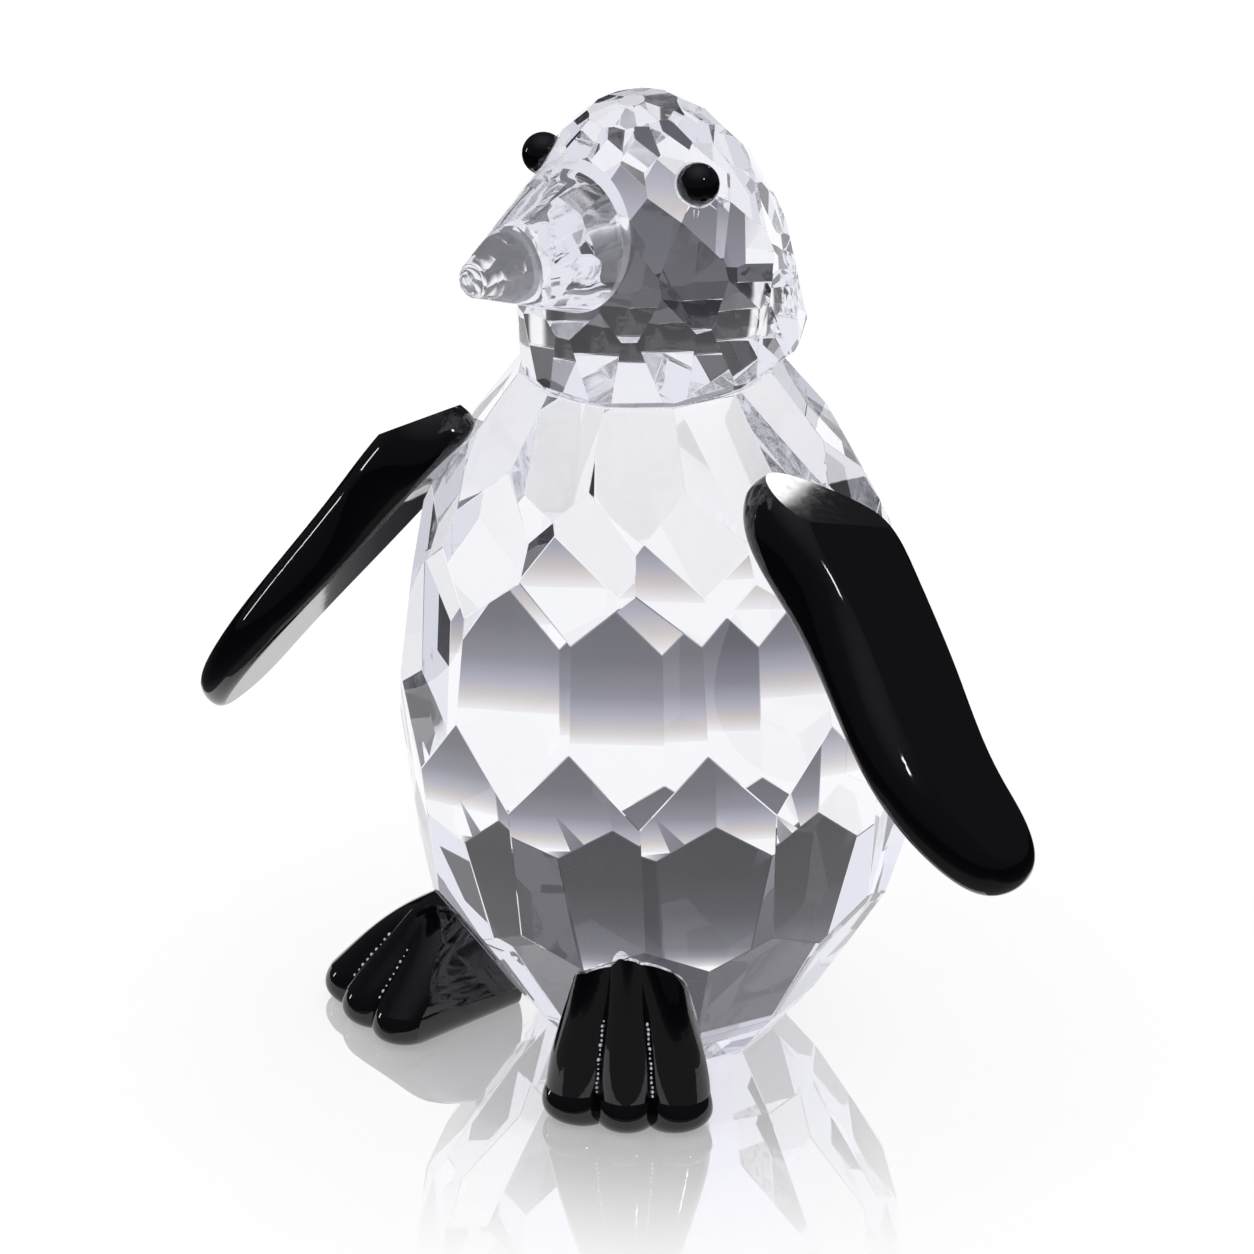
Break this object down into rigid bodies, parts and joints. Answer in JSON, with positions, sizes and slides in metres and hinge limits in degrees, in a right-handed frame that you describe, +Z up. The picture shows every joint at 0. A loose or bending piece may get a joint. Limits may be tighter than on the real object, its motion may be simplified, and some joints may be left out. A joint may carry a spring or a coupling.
{
  "type": "penguin figurine",
  "caption": "Penguin figurine in faceted clear glass with a gem-cut head, a round clear beak and black glass wings, feet and eyes, standing on its flat base.",
  "frame": {"origin": "on the ground, where the body's own axis meets its flat base", "axes": "+Z up, -Y out through the penguin's front, +X towards its left side"},
  "size_m": [0.072, 0.0418, 0.0778],
  "materials": {
    "clear_crystal": "polished, clear",
    "black_glass": "polished, opaque black",
    "clear_adhesive": "glossy, clear"
  },
  "bodies": {
    "root": {"body": "clear_crystal", "head": "clear_crystal", "beak": "clear_crystal", "left_wing": "black_glass", "right_wing": "black_glass", "left_foot": "black_glass", "right_foot": "black_glass", "left_eye": "black_glass", "right_eye": "black_glass", "neck_bond": "clear_adhesive", "beak_bond": "clear_adhesive", "left_wing_bond": "clear_adhesive", "right_wing_bond": "clear_adhesive", "left_foot_bond": "clear_adhesive", "right_foot_bond": "clear_adhesive", "left_eye_bond": "clear_adhesive", "right_eye_bond": "clear_adhesive"}
  },
  "joints": []
}
